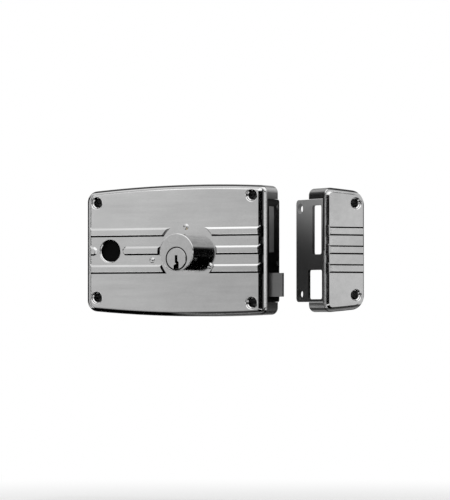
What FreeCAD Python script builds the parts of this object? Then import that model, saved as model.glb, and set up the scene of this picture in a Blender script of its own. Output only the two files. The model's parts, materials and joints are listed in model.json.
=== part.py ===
import FreeCAD
import Part
import math
import os

V = FreeCAD.Vector

# Rim lock for a gate or door, with its strike. Millimetres.
# X runs across the lock towards the strike, Y into the door, Z up.
# The origin is on the key cylinder's axis, at the door's face.

# Lock case
backset = 60.0
case_width = 141.6
case_height = 92.6
case_depth = 21.3
case_rise = 1.6
edge_arc_radius = 970.0
edge_arc_x = 8.0
left_corner_radius = 8.0
right_corner_radius = 5.0
least_corner = 1.0

# Pressed sheet of both covers
sheet = 1.2
edge_round = 2.0
side_flange_width = 1.0
side_bevel_width = 2.1
arc_flange_width = 0.2
arc_bevel_width = 1.2
panel_raise = 2.4
rib_height = 1.3
rib_width = 6.3
rib_slope = 0.96
rib_skirt = 0.8
rib_pitch = 13.0
rib_crest = 0.5
rib_margin = 2.2
rib_clear_radius = 22.0
stub_rib_length = 7.7
short_rib_gap = 9.9

# Screw holes in the corners, with rolled edges, for wood or machine screws
screw_hole_radius = 3.8
screw_shank_radius = 2.75
hole_round = 1.1
round_lip = 0.02
left_hole_inset = 9.2
left_hole_margin = 12.7
right_hole_inset = 10.5
right_hole_margin = 8.8
hole_rise = 0.6
sleeve_wall = 0.5

# Base plate and forend
plate = 2.5
cover_gap = 0.2
bore_radius = 13.4
ear_length = 14.0
ear_height = 5.0
ear_thickness = 1.5
ear_left_inset = 33.0
ear_right_inset = 38.0
forend = 3.0
forend_front = 18.9
forend_bottom = -34.6
forend_height = 71.6
forend_corner = 2.0
forend_rim = 1.5
forend_rim_height = 2.5
forend_screw_radius = 1.6
forend_screw_head = 1.2
forend_screw_y = -3.2
forend_screw_margin = 5.2
forend_screw_drop = 7.7

# Key cylinder
barrel_radius = 13.2
barrel_front = 41.3
barrel_rear = 15.5
barrel_edge = 0.6
barrel_flange_radius = 17.5
barrel_flange_flat = 14.0
barrel_flange = 2.0
barrel_hole_gap = 0.3
plug_drop = 4.4
plug_radius = 6.5
plug_head_radius = 7.6
plug_head = 1.2
plug_gap = 0.05
plug_proud = 0.3
plug_ring = 0.4
keyway_width = 2.0
keyway_rise = 2.4
keyway_step = 1.0
pin_tip = 1.0
pin_count = 5
pin_pitch = 4.0
first_pin = 3.4
pin_radius = 1.35
pin_gap = 0.1
driver_length = 4.6
chamber_plug = 1.4

# Carrier that holds the cylinder behind the cover
carrier = 2.0
carrier_radius = 19.6
carrier_lobe = 4.6
carrier_rivets = [(-1.2, 18.2), (-28.0, -5.0), (17.4, -9.3)]
rivet_radius = 1.2
rivet_head_radius = 2.15
rivet_head = 0.9
rivet_foot = 0.6
rivet_foot_radius = 1.95
barrel_screw_x = 15.5
barrel_screw_radius = 1.3
barrel_screw_head_radius = 2.2
barrel_screw_head = 1.6
screw_slot_width = 0.6

# Cam on the plug's tail
tail_radius = 4.0
cam = 2.2
cam_gap = 0.2
cam_radius = 7.5
cam_reach = 11.5
cam_half_turn = 50.0
lug_radius = 2.0
cam_arm_radius = 3.4
lug_end = 6.4
circlip = 0.7
circlip_radius = 5.2

# Both bolts ride on flat tails at one level
tail_back = 9.0
tail = 3.0
tail_corner = 1.5
slide_gap = 0.2
forend_gap = 0.25

# Dead bolt
bolt_length = 30.0
bolt_height = 32.0
bolt_bottom = 0.0
bolt_thickness = 7.7
bolt_tail_height = 26.0
bolt_tail_gap = 10.0
bolt_joint = 10.0
lug_slot_gap = 0.6
lug_slot_top = 9.8
bolt_rivet_radius = 1.8

# Guide posts
post_pin_radius = 2.5
post_shoulder_radius = 4.5
post_spigot_radius = 1.5
post_groove = 0.5
post_clip = 0.7
post_clip_width = 2.4
bolt_post_margin = 3.7
bolt_post_rise = 14.0
latch_post_x = 5.0

# Detent spring over the dead bolt's tail
detent_strip = 0.5
detent_nose_half = 2.4
detent_notch = 1.6
detent_holder_x = 6.0
detent_holder_width = 6.0
detent_holder_height = 6.0
detent_lift = 4.0
detent_screw_radius = 1.1
detent_screw_head = 1.2

# Latch
latch_top = -14.5
latch_height = 16.5
latch_front = 16.3
latch_thickness = 11.0
latch_reach = 10.0
latch_land = 2.4
latch_bevel = 9.5
latch_body = 15.2
latch_body_gap = 0.2
latch_body_back = 3.3
latch_joint = 8.0
latch_tail_drop = 2.5
latch_tail_height = 11.0
latch_tail_reach = 4.7
latch_rivet_radius = 1.5

# Latch spring and its bracket
spring_wire = 0.4
spring_radius = 2.1
spring_turns = 8
spring_facets = 6
spring_y = -5.9
spring_bracket_x = 12.0
spring_bracket = 2.3
spring_rod_radius = 1.2

# Push button that draws the latch through a ramp
button_inset = 20.0
button_z = 1.5
button_hole_radius = 8.1
button_hole_round = 0.6
button_gap = 0.2
button_recess = 3.0
button_disc = 2.1
button_dish = 0.5
button_travel = 7.0
button_tube_wall = 1.5
button_tube_end = 17.0
stem_half_width = 4.0
stem_bottom = -5.0
stem_top = 8.0
stem_mid_y = -12.6
guide_pin_radius = 1.5
guide_pin_z = 5.0
guide_pin_end = 11.2
guide_pin_gap = 0.1
ramp_left_reach = 5.5
ramp_top = 1.2
ramp_back = 3.2
ramp_web = 3.0
ramp_web_front = 11.2
arm_reach = 13.4

# Lever that lets the key draw the latch
lever_pivot_x = -26.0
lever_pin_depth = 3.0
lever_front = 8.6
lever = 2.0
lever_pin_reach = 14.6
lever_half_turn = 20.0
lever_arm_reach = 15.0
lever_width = 3.6
lever_hub_radius = 4.0
lever_shoulder_radius = 3.5
lever_pivot_radius = 2.0
lever_pivot_gap = 0.05
lever_pin_radius = 1.8
lever_pin_gap = 0.15

# Strike, in its place with the door shut
strike_gap = 3.5
strike_width = 32.5
strike_height = 91.2
strike_arc_radius = 800.0
strike_left_corner = 5.0
strike_right_corner = 10.5
strike_edge_round = 1.0
strike_flange_width = 0.5
strike_bevel_width = 1.1
strike_rib_margin_left = 1.2
strike_rib_margin_right = 1.3
strike_plate = 2.0
strike_plate_front = 19.1
strike_plate_back = 17.5
strike_plate_bottom = -34.6
strike_plate_height = 71.7
strike_plate_corner = 3.0
strike_hole_inset = 8.3
strike_hole_margin = 13.5
bolt_window_front_gap = 0.4
bolt_window_back_gap = 4.2
bolt_window_bottom_gap = 1.4
bolt_window_top_gap = 0.8
latch_window_front_gap = 1.5
latch_window_back_gap = 6.6
latch_window_bottom_gap = 1.7
latch_window_top_gap = 2.2
window_corner = 1.5
flange_hole_radius = 2.2
flange_hole_sink = 1.5
flange_hole_y = 12.0
flange_hole_top_margin = 6.2
flange_hole_bottom_margin = 5.5
strike_tab = 8.5
strike_tab_thickness = 2.0
strike_tab_margin = 4.0

# The photographed strike is turned about an upright axis
strike_pole = (63.0, 19.0)
strike_turn = 55.0

# Levels and edges that follow from the sizes above
front = -case_depth
panel = front - panel_raise
crest = panel - rib_height
panel_back = panel + sheet
plate_front = -plate
case_left = backset - case_width
strike_left = backset + strike_gap
strike_right = strike_left + strike_width
left_hole_x = case_left + left_hole_inset
left_hole_spacing = case_height - 2 * left_hole_margin
right_hole_x = backset - right_hole_inset
right_hole_spacing = case_height - 2 * right_hole_margin
hole_mid_z = case_rise + hole_rise
strike_hole_x = strike_right - strike_hole_inset
strike_hole_spacing = strike_height - 2 * strike_hole_margin
ear_places = [case_left + ear_left_inset, backset - ear_right_inset]
forend_top = forend_bottom + forend_height
forend_screw_places = [forend_top - forend_screw_margin, bolt_bottom - forend_screw_drop]
strike_plate_top = strike_plate_bottom + strike_plate_height
flange_hole_places = [strike_plate_top - flange_hole_top_margin,
                      strike_plate_bottom + flange_hole_bottom_margin]
button_x = case_left + button_inset
stub_rib_end = case_left + rib_margin + stub_rib_length
short_rib_start = button_x + short_rib_gap
lock_shell = (case_left, backset, left_corner_radius, right_corner_radius, case_height, edge_arc_radius)
strike_shell = (strike_left, strike_right, strike_left_corner, strike_right_corner,
                strike_height, strike_arc_radius)
lock_border = (edge_round, side_flange_width, side_bevel_width)
strike_border = (strike_edge_round, strike_flange_width, strike_bevel_width)
rib_skin = sheet * (math.hypot(1, rib_slope) - rib_slope)
rib_places = [case_rise + rib_pitch, case_rise, case_rise - rib_pitch]
tail_front = -tail_back - tail
bolt_throw = 2 * cam_reach * math.sin(math.radians(cam_half_turn))
bolt_front = -tail_back - bolt_thickness
bolt_left = backset - bolt_length
bolt_tail_end = button_x + button_hole_radius + button_tube_wall + bolt_tail_gap
bolt_post_x = bolt_tail_end + bolt_post_margin + bolt_throw + post_pin_radius + slide_gap
bolt_post = (bolt_post_x, bolt_bottom + bolt_post_rise)
detent_nose_x = bolt_tail_end + tail_corner + detent_nose_half + bolt_throw
latch_bottom = latch_top - latch_height
latch_back = -latch_front + latch_thickness
latch_tip = backset + latch_reach
latch_body_right = backset - forend - forend_rim - forend_gap
latch_body_left = latch_body_right - latch_body
latch_tail_top = latch_top - latch_tail_drop
latch_tail_bottom = latch_tail_top - latch_tail_height
latch_tail_end = button_x + latch_tail_reach
latch_post = (latch_post_x, (latch_tail_top + latch_tail_bottom) / 2)
spring_z = (latch_top + latch_bottom) / 2
ramp_left = button_x - ramp_left_reach
arm_right = button_x + arm_reach
lever_rise = lever_pin_reach * math.cos(math.radians(lever_half_turn))
lever_pivot = (lever_pivot_x, latch_tail_top - lever_pin_depth + lever_rise)
upper_window_y = (bolt_front - bolt_window_front_gap, -tail_back + bolt_window_back_gap)
upper_window_z = (bolt_bottom - bolt_window_bottom_gap, bolt_bottom + bolt_height + bolt_window_top_gap)
lower_window_y = (-latch_front - latch_window_front_gap, latch_back + latch_window_back_gap)
lower_window_z = (latch_bottom - latch_window_bottom_gap, latch_top + latch_window_top_gap)
barrel_back = -barrel_rear
flange_front = panel_back + carrier
cam_front = barrel_back + cam_gap
cam_back = cam_front + cam
button_front = panel + button_recess
stem_front = button_front + button_disc
ramp_gradient = button_travel / latch_reach
lever_front_y = -lever_front
lever_back_y = lever_front_y + lever
sleeve_end = front + sheet


def block(x, y, z):
    """Box between two limits on each axis."""
    return Part.makeBox(x[1] - x[0], y[1] - y[0], z[1] - z[0], V(x[0], y[0], z[0]))


def rod(radius, y, x, z):
    """Round bar along Y."""
    return Part.makeCylinder(radius, y[1] - y[0], V(x, y[0], z), V(0, 1, 0))


def tube(outer, inner, y, x, z):
    """Round tube along Y."""
    return rod(outer, y, x, z).cut(rod(inner, y, x, z))


def cone(front_radius, back_radius, y, x, z):
    """Cone frustum along Y."""
    return Part.makeCone(front_radius, back_radius, y[1] - y[0], V(x, y[0], z), V(0, 1, 0))


def bar_x(radius, x, y, z):
    """Round bar along X."""
    return Part.makeCylinder(radius, x[1] - x[0], V(x[0], y, z), V(1, 0, 0))


def bar_z(radius, z, x, y):
    """Round bar along Z."""
    return Part.makeCylinder(radius, z[1] - z[0], V(x, y, z[0]), V(0, 0, 1))


def plate_y(points, y):
    """Flat piece with an outline in X and Z, between two depths."""
    wire = Part.makePolygon([V(px, y[0], pz) for px, pz in points + points[:1]])
    return Part.Face(wire).extrude(V(0, y[1] - y[0], 0))


def plate_z(points, z):
    """Flat piece with an outline in X and Y, between two heights."""
    wire = Part.makePolygon([V(px, py, z[0]) for px, py in points + points[:1]])
    return Part.Face(wire).extrude(V(0, 0, z[1] - z[0]))


def link(start, end, radius, y):
    """Flat bar with round ends from one point to another, given in X and Z."""
    dx = end[0] - start[0]
    dz = end[1] - start[1]
    length = math.hypot(dx, dz)
    nx = -dz / length * radius
    nz = dx / length * radius
    sides = [(start[0] + nx, start[1] + nz), (end[0] + nx, end[1] + nz),
             (end[0] - nx, end[1] - nz), (start[0] - nx, start[1] - nz)]
    body = plate_y(sides, y)
    return body.multiFuse([rod(radius, y, *start), rod(radius, y, *end)]).removeSplitter()


def join(pieces):
    """One solid from pieces that meet."""
    return pieces[0].multiFuse(pieces[1:]).removeSplitter()


def group(pieces):
    """Separate solids that share one node."""
    return Part.makeCompound(pieces)


def round_box(x, y, z, radius, direction):
    """Box with the edges along one direction rounded."""
    solid = block(x, y, z)
    along = [e for e in solid.Edges if abs(e.tangentAt(e.FirstParameter).dot(direction)) > 0.99]
    return solid.makeFillet(radius, along)


def outline(shell, inset, y, inset_at_arcs=None):
    """Closed outline of a case: two upright sides, two shallow arcs and four round corners."""
    left, right, left_radius, right_radius, height, arc_radius = shell
    left = left + inset
    right = right - inset
    arc = arc_radius - (inset if inset_at_arcs is None else inset_at_arcs)
    sink = arc_radius - height / 2
    corners = {}
    for name, side, turn, radius in (("left", left, 1, left_radius), ("right", right, -1, right_radius)):
        r = max(radius - inset, least_corner)
        cx = side + turn * r
        cz = math.sqrt((arc - r) ** 2 - (cx - edge_arc_x) ** 2) - sink
        away = V(cx - edge_arc_x, 0, cz + sink).normalize()
        middle = (away + V(-turn, 0, 0)).normalize()
        centre = V(cx, 0, cz)
        corners[name] = (centre + V(-turn * r, 0, 0), centre + middle * r, centre + away * r)

    def place(point, up):
        return V(point.x, y, case_rise + up * point.z)

    crown = V(edge_arc_x, 0, arc - sink)
    edges = []
    low_left, low_left_mid, low_left_arc = [place(p, -1) for p in corners["left"]]
    top_left, top_left_mid, top_left_arc = [place(p, 1) for p in corners["left"]]
    low_right, low_right_mid, low_right_arc = [place(p, -1) for p in corners["right"]]
    top_right, top_right_mid, top_right_arc = [place(p, 1) for p in corners["right"]]
    middle_x = (top_left_arc.x + top_right_arc.x) / 2
    middle_z = math.sqrt(arc ** 2 - (middle_x - edge_arc_x) ** 2) - sink
    if abs(middle_x - edge_arc_x) < 1e-6:
        middle_z = crown.z
    edges.append(Part.LineSegment(low_left, top_left).toShape())
    edges.append(Part.Arc(top_left, top_left_mid, top_left_arc).toShape())
    edges.append(Part.Arc(top_left_arc, V(middle_x, y, case_rise + middle_z), top_right_arc).toShape())
    edges.append(Part.Arc(top_right_arc, top_right_mid, top_right).toShape())
    edges.append(Part.LineSegment(top_right, low_right).toShape())
    edges.append(Part.Arc(low_right, low_right_mid, low_right_arc).toShape())
    edges.append(Part.Arc(low_right_arc, V(middle_x, y, case_rise - middle_z), low_left_arc).toShape())
    edges.append(Part.Arc(low_left_arc, low_left_mid, low_left).toShape())
    return Part.Wire(edges)


def prism(shell, inset, y):
    """Straight-sided body with the case's outline."""
    return Part.Face(outline(shell, inset, y[0])).extrude(V(0, y[1] - y[0], 0))


def rib_outline(x, z, half, y, round_ends):
    """Outline of a rib at one depth, with square or round ends."""
    left, right = x
    points = [V(left, y, z - half), V(left, y, z + half), V(right, y, z + half), V(right, y, z - half)]
    edges = []
    if round_ends[0]:
        edges.append(Part.Arc(points[0], V(left - half, y, z), points[1]).toShape())
    else:
        edges.append(Part.LineSegment(points[0], points[1]).toShape())
    edges.append(Part.LineSegment(points[1], points[2]).toShape())
    if round_ends[1]:
        edges.append(Part.Arc(points[2], V(right + half, y, z), points[3]).toShape())
    else:
        edges.append(Part.LineSegment(points[2], points[3]).toShape())
    edges.append(Part.LineSegment(points[3], points[0]).toShape())
    return Part.Wire(edges)


def rib(ends, z, round_ends, skin, end_slope):
    """Pressed rib that stands on the panel; skin 0 is its outside, and the sheet its inside.

    Its sides slope down to the panel, and beyond its ends they drop straight.
    """
    narrow = rib_skin * skin / sheet
    wires = []
    for depth in (front, crest):
        rise = front - depth
        half = rib_width / 2 + (panel_raise - rise) * rib_slope - narrow
        grow = rise * end_slope + narrow
        left = ends[0] + (rib_width / 2 if round_ends[0] else grow)
        right = ends[1] - (rib_width / 2 if round_ends[1] else grow)
        wires.append(rib_outline((left, right), z, half, depth + skin, round_ends))
    solid = Part.makeLoft(wires, True, True)
    if not skin:
        top = [e for e in solid.Edges if max(abs(v.Y - crest) for v in e.Vertexes) < 0.01]
        solid = solid.makeFillet(rib_crest, top)
    reach = rib_width / 2 + rib_skirt - skin
    return solid.common(block((ends[0], ends[1]), (crest + skin, front + skin), (z - reach, z + reach)))


def clearing(skin):
    """Cone round the cylinder that the ribs stop at."""
    narrow = rib_skin * skin / sheet
    spread = rib_height * rib_slope
    radius = rib_clear_radius + narrow
    return cone(radius + spread, radius, (crest + skin, panel + skin), 0, 0)


def bevel_skin(width):
    """How far a bevel's inside lies behind its outside, measured along the panel."""
    return sheet * (math.hypot(width, panel_raise) - width) / panel_raise


def pressed_cover(shell, border, ribs, cleared):
    """Deep-drawn cover: skirt, round edge, flange strip, raised panel and ribs, one sheet thick.

    A rib much shorter than the others is a nub with no hollow behind it.
    """
    round_edge, flange_width, bevel_width = border
    shape = prism(shell, 0, (front, plate_front))
    rim = [e for e in shape.Edges if max(abs(v.Y - front) for v in e.Vertexes) < 0.01]
    shape = shape.makeFillet(round_edge, rim)
    side_inset = round_edge + flange_width
    arc_inset = edge_round + arc_flange_width
    raised = [outline(shell, side_inset, front, arc_inset),
              outline(shell, side_inset + bevel_width, panel, arc_inset + arc_bevel_width)]
    inner_side = side_inset + bevel_skin(bevel_width)
    inner_arc = arc_inset + bevel_skin(arc_bevel_width)
    hollow = [outline(shell, inner_side, front + sheet, inner_arc),
              outline(shell, inner_side + bevel_width, panel_back, inner_arc + arc_bevel_width)]
    outside = [shape, Part.makeLoft(raised, True, True)]
    inside = [prism(shell, sheet, (front + sheet, plate_front)), Part.makeLoft(hollow, True, True)]
    for ends, z, round_ends in ribs:
        for skin, side in ((0, outside), (sheet, inside)):
            if skin and ends[1] - ends[0] < 2 * rib_width:
                continue
            ridge = rib(ends, z, round_ends, skin, bevel_width / panel_raise)
            if cleared:
                ridge = ridge.cut(clearing(skin))
            side.append(ridge)
    return join(outside).cut(join(inside))


def rolled_hole(radius, edge, x, z):
    """What a hole with a rolled edge takes out of the cover; the roll starts a hair above the panel."""
    level = panel + edge - round_lip
    mouth = radius + edge
    slant = edge * math.sqrt(0.5)
    corner = V(x + mouth, level - edge, z)
    foot = V(x + radius, level, z)
    line = [foot, V(x + radius, flange_front, z), V(x, flange_front, z), V(x, crest, z),
            V(x + mouth, crest, z), corner]
    edges = [Part.LineSegment(a, b).toShape() for a, b in zip(line, line[1:])]
    edges.append(Part.Arc(corner, V(x + mouth - slant, level - slant, z), foot).toShape())
    return Part.Face(Part.Wire(edges)).revolve(V(x, 0, z), V(0, 1, 0), 360)


def hole_pair(x, spacing, middle):
    """Places of two screw holes, one above the other."""
    return [(x, middle + spacing / 2), (x, middle - spacing / 2)]


lock_holes = hole_pair(left_hole_x, left_hole_spacing, hole_mid_z)
lock_holes = lock_holes + hole_pair(right_hole_x, right_hole_spacing, hole_mid_z)
strike_holes = hole_pair(strike_hole_x, strike_hole_spacing, hole_mid_z)


def front_cover():
    left = case_left + rib_margin
    right = backset - rib_margin
    ribs = []
    for z in (rib_places[0], rib_places[2]):
        ribs.append(((left, 0), z, (False, False)))
        ribs.append(((0, right), z, (False, False)))
    ribs.append(((0, right), rib_places[1], (False, False)))
    ribs.append(((left, stub_rib_end), rib_places[1], (False, True)))
    ribs.append(((short_rib_start, 0), rib_places[1], (True, False)))
    shape = pressed_cover(lock_shell, lock_border, ribs, True)
    cuts = [rod(barrel_radius + barrel_hole_gap, (crest, flange_front), 0, 0)]
    cuts.append(rolled_hole(button_hole_radius, button_hole_round, button_x, button_z))
    for x, z in lock_holes:
        cuts.append(rolled_hole(screw_hole_radius, hole_round, x, z))
    for x, z in carrier_rivets:
        cuts.append(rod(rivet_radius, (crest, flange_front), x, z))
    cuts.append(block((backset - forend - sheet, backset + 1), (-forend_front - cover_gap, plate_front + 1),
                      (forend_bottom - cover_gap, forend_top + cover_gap)))
    return shape.cut(join(cuts))


def base_shell():
    """Outline of the base plate, which fits inside the cover's skirt."""
    inset = sheet + cover_gap
    right = backset - forend + inset
    return (case_left, right, left_corner_radius, right_corner_radius, case_height, edge_arc_radius), inset


def base_plate():
    shell, inset = base_shell()
    pieces = [prism(shell, inset, (plate_front, 0))]
    ear_front = plate_front - ear_height
    ear_root = plate_front / 2
    ring = prism(shell, inset, (ear_front, ear_root))
    ring = ring.cut(prism(shell, inset + ear_thickness, (ear_front, ear_root)))
    for x in ear_places:
        half = ear_length / 2
        slot = block((x - half, x + half), (ear_front, ear_root), (-case_height, case_height))
        pieces.append(ring.common(slot))
    rim_left = backset - forend - forend_rim
    pieces.append(block((rim_left, backset - forend), (plate_front - forend_rim_height, plate_front / 2),
                        (forend_bottom + forend_corner, forend_top - forend_corner)))
    solids = []
    for piece in pieces:
        solids.extend(piece.Solids)
    shape = join(solids)
    cuts = [rod(bore_radius, (plate_front, 0), 0, 0)]
    for x, z in lock_holes:
        cuts.append(rod(screw_shank_radius, (plate_front, 0), x, z))
    for x, z in (bolt_post, latch_post, lever_pivot, (button_x, guide_pin_z)):
        cuts.append(rod(post_spigot_radius, (plate_front, 0), x, z))
    for z in forend_screw_places:
        cuts.append(bar_x(forend_screw_radius / 2, (rim_left - 1, backset), forend_screw_y, z))
    return shape.cut(join(cuts))


def forend_plate():
    x = (backset - forend, backset)
    shape = round_box(x, (-forend_front, 0), (forend_bottom, forend_top), forend_corner, V(1, 0, 0))
    wide = (x[0] - 1, x[1] + 1)
    cuts = [block(wide, (bolt_front - forend_gap, -tail_back + forend_gap),
                  (bolt_bottom - forend_gap, bolt_bottom + bolt_height + forend_gap))]
    cuts.append(block(wide, (-latch_front - forend_gap, latch_back + forend_gap),
                      (latch_bottom - forend_gap, latch_top + forend_gap)))
    for z in forend_screw_places:
        cuts.append(bar_x(forend_screw_radius / 2, x, forend_screw_y, z))
        head = Part.makeCone(forend_screw_radius / 2, forend_screw_radius, forend_screw_head,
                             V(backset - forend_screw_head, forend_screw_y, z), V(1, 0, 0))
        cuts.append(head)
    for cut in cuts:
        shape = shape.cut(cut)
    return shape


def forend_screws():
    screws = []
    for z in forend_screw_places:
        shank = bar_x(forend_screw_radius / 2, (backset - forend - forend_rim, backset - forend_screw_head),
                      forend_screw_y, z)
        head = Part.makeCone(forend_screw_radius / 2, forend_screw_radius, forend_screw_head,
                             V(backset - forend_screw_head, forend_screw_y, z), V(1, 0, 0))
        screws.append(join([shank, head]))
    return group(screws)


def corner_sleeves():
    outer = screw_hole_radius + sleeve_wall
    return group([tube(outer, screw_hole_radius, (sleeve_end, plate_front), x, z) for x, z in lock_holes])


def keyway(length):
    """Stepped slot for the key, from its top edge down through the bottom of the plug."""
    top = -plug_drop + keyway_rise
    bottom = -plug_drop - plug_head_radius - 1
    half = keyway_width / 2
    middle = (top + bottom + 1) / 2
    points = [(-half, top), (half, top), (half, middle + keyway_step),
              (half + keyway_step, middle), (half + keyway_step, bottom),
              (-half - keyway_step, bottom), (-half - keyway_step, middle - 2 * keyway_step),
              (half - keyway_step, middle - keyway_step), (-half, middle)]
    return plate_y(points, length)


def pin_places():
    start = -barrel_front + plug_head + first_pin
    return [start + i * pin_pitch for i in range(pin_count)]


def cylinder_barrel():
    body = rod(barrel_radius, (-barrel_front, barrel_back), 0, 0)
    nose = [e for e in body.Edges if len(e.Vertexes) == 1 and abs(e.Vertexes[0].Y + barrel_front) < 0.01]
    body = body.makeFillet(barrel_edge, nose)
    level = (flange_front, flange_front + barrel_flange)
    across = block((-barrel_flange_radius, barrel_flange_radius), level,
                   (-barrel_flange_flat, barrel_flange_flat))
    shape = join([body, rod(barrel_flange_radius, level, 0, 0).common(across)])
    cuts = [rod(plug_radius + plug_gap, (-barrel_front, barrel_back), 0, -plug_drop)]
    ring = plug_head_radius + plug_gap
    cuts.append(rod(ring, (-barrel_front, -barrel_front + plug_head), 0, -plug_drop))
    cuts.append(cone(ring + plug_ring, ring, (-barrel_front, -barrel_front + plug_ring), 0, -plug_drop))
    for y in pin_places():
        cuts.append(bar_z(pin_radius + pin_gap, (-plug_drop, barrel_radius + 1), 0, y))
    for side in (-1, 1):
        cuts.append(rod(barrel_screw_radius, level, side * barrel_screw_x, 0))
    for cut in cuts:
        shape = shape.cut(cut)
    return shape


def cylinder_plug():
    face = -barrel_front - plug_proud
    head = rod(plug_head_radius, (face, -barrel_front + plug_head - plug_gap), 0, -plug_drop)
    head = head.makeChamfer(plug_proud, [e for e in head.Edges if len(e.Vertexes) == 1
                                         and abs(e.Vertexes[0].Y - face) < 0.01])
    body = rod(plug_radius, (face + plug_head, barrel_back), 0, -plug_drop)
    tail_end = cam_back + circlip + plug_gap
    spigot = rod(tail_radius, (barrel_back, tail_end), 0, -plug_drop)
    shape = join([head, body, spigot])
    shape = shape.cut(keyway((face, barrel_back - pin_radius)))
    for y in pin_places():
        chamber = (-plug_drop + keyway_rise - pin_tip, plug_radius)
        shape = shape.cut(bar_z(pin_radius + pin_gap, chamber, 0, y))
    groove = tube(tail_radius + 1, tail_radius - post_groove, (cam_back, cam_back + circlip), 0, -plug_drop)
    return shape.cut(groove)


def key_pins():
    pins = []
    limit = rod(plug_radius - plug_gap, (-barrel_front, barrel_back), 0, -plug_drop)
    for y in pin_places():
        bottom = -plug_drop + keyway_rise - pin_tip
        tip = Part.makeCone(pin_radius / 2, pin_radius, pin_tip, V(0, y, bottom), V(0, 0, 1))
        pin = join([tip, bar_z(pin_radius, (bottom + pin_tip, plug_radius), 0, y)])
        pins.append(pin.common(limit))
    return group(pins)


def driver_pins():
    bottom = plug_radius - plug_drop + 2 * plug_gap
    return group([bar_z(pin_radius, (bottom, bottom + driver_length), 0, y) for y in pin_places()])


def pin_springs():
    bottom = plug_radius - plug_drop + 2 * plug_gap + driver_length
    top = barrel_radius - chamber_plug
    springs = []
    for y in pin_places():
        coil = bar_z(pin_radius - pin_gap, (bottom, top), 0, y)
        springs.append(coil.cut(bar_z(pin_radius / 2, (bottom, top), 0, y)))
    return group(springs)


def chamber_plugs():
    skin = rod(barrel_radius, (-barrel_front, barrel_back), 0, 0)
    plugs = []
    for y in pin_places():
        plug = bar_z(pin_radius + pin_gap, (barrel_radius - chamber_plug, barrel_radius), 0, y)
        plugs.append(plug.common(skin))
    return group(plugs)


def plug_cam():
    angle = math.radians(cam_half_turn)
    lug = (-cam_reach * math.sin(angle), cam_reach * math.cos(angle) - plug_drop)
    disc = rod(cam_radius, (cam_front, cam_back), 0, -plug_drop)
    arm = link((0, -plug_drop), lug, cam_arm_radius, (cam_front, cam_back))
    pin = rod(lug_radius, (cam_front, -lug_end), *lug)
    shape = join([disc, arm, pin])
    return shape.cut(rod(tail_radius, (cam_front, cam_back), 0, -plug_drop))


def c_clip(outer, inner, y, x, z, opening):
    """Flat retaining ring, open on one side; opening points along Z, up or down."""
    ring = tube(outer, inner, y, x, z)
    gap = block((x - inner * 0.6, x + inner * 0.6), y, sorted((z, z + opening * (outer + 1))))
    return ring.cut(gap)


def plug_circlip():
    return c_clip(circlip_radius, tail_radius - post_groove, (cam_back, cam_back + circlip),
                  0, -plug_drop, -1)


def cylinder_carrier():
    level = (panel_back, flange_front)
    pieces = [rod(carrier_radius, level, 0, 0)]
    for place in carrier_rivets:
        pieces.append(link((0, 0), place, carrier_lobe, level))
    shape = join(pieces)
    cuts = [rod(barrel_radius + barrel_hole_gap, level, 0, 0)]
    for x, z in carrier_rivets:
        cuts.append(rod(rivet_radius, level, x, z))
    for side in (-1, 1):
        cuts.append(rod(barrel_screw_radius, level, side * barrel_screw_x, 0))
    for cut in cuts:
        shape = shape.cut(cut)
    return shape


def carrier_rivet_set():
    rivets = []
    for x, z in carrier_rivets:
        shank = rod(rivet_radius, (panel, flange_front), x, z)
        head_curve = (rivet_head_radius ** 2 + rivet_head ** 2) / (2 * rivet_head)
        ball = Part.makeSphere(head_curve, V(x, panel - rivet_head + head_curve, z))
        head = ball.common(rod(rivet_head_radius, (panel - rivet_head, panel), x, z))
        foot = rod(rivet_foot_radius, (flange_front, flange_front + rivet_foot), x, z)
        rivets.append(join([shank, head, foot]))
    return group(rivets)


def barrel_screws():
    back = flange_front + barrel_flange
    screws = []
    for side in (-1, 1):
        x = side * barrel_screw_x
        shank = rod(barrel_screw_radius, (panel_back, back), x, 0)
        head = rod(barrel_screw_head_radius, (back, back + barrel_screw_head), x, 0)
        slot = block((x - barrel_screw_head_radius, x + barrel_screw_head_radius),
                     (back + barrel_screw_head / 2, back + barrel_screw_head),
                     (-screw_slot_width / 2, screw_slot_width / 2))
        screws.append(join([shank, head]).cut(slot))
    return group(screws)


def guide_slot(place, travel, y):
    """Slot for a guide post in a tail that slides by travel along X."""
    half = post_pin_radius + slide_gap
    start = min(place[0], place[0] - travel)
    end = max(place[0], place[0] - travel)
    return link((start, place[1]), (end, place[1]), half, y)


def dead_bolt_head():
    z = (bolt_bottom, bolt_bottom + bolt_height)
    shape = block((bolt_left, backset), (bolt_front, -tail_back), z)
    seat = block((bolt_left, bolt_left + bolt_joint), (tail_front, -tail_back),
                 (bolt_bottom, bolt_bottom + bolt_tail_height))
    shape = shape.cut(seat)
    for x, height in bolt_rivet_places():
        shape = shape.cut(rod(bolt_rivet_radius, (bolt_front, tail_front), x, height))
    return shape


def bolt_rivet_places():
    x = bolt_left + bolt_joint / 2
    return [(x, bolt_bottom + bolt_tail_height * share) for share in (0.25, 0.75)]


def lug_slot_x():
    return -cam_reach * math.sin(math.radians(cam_half_turn))


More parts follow.
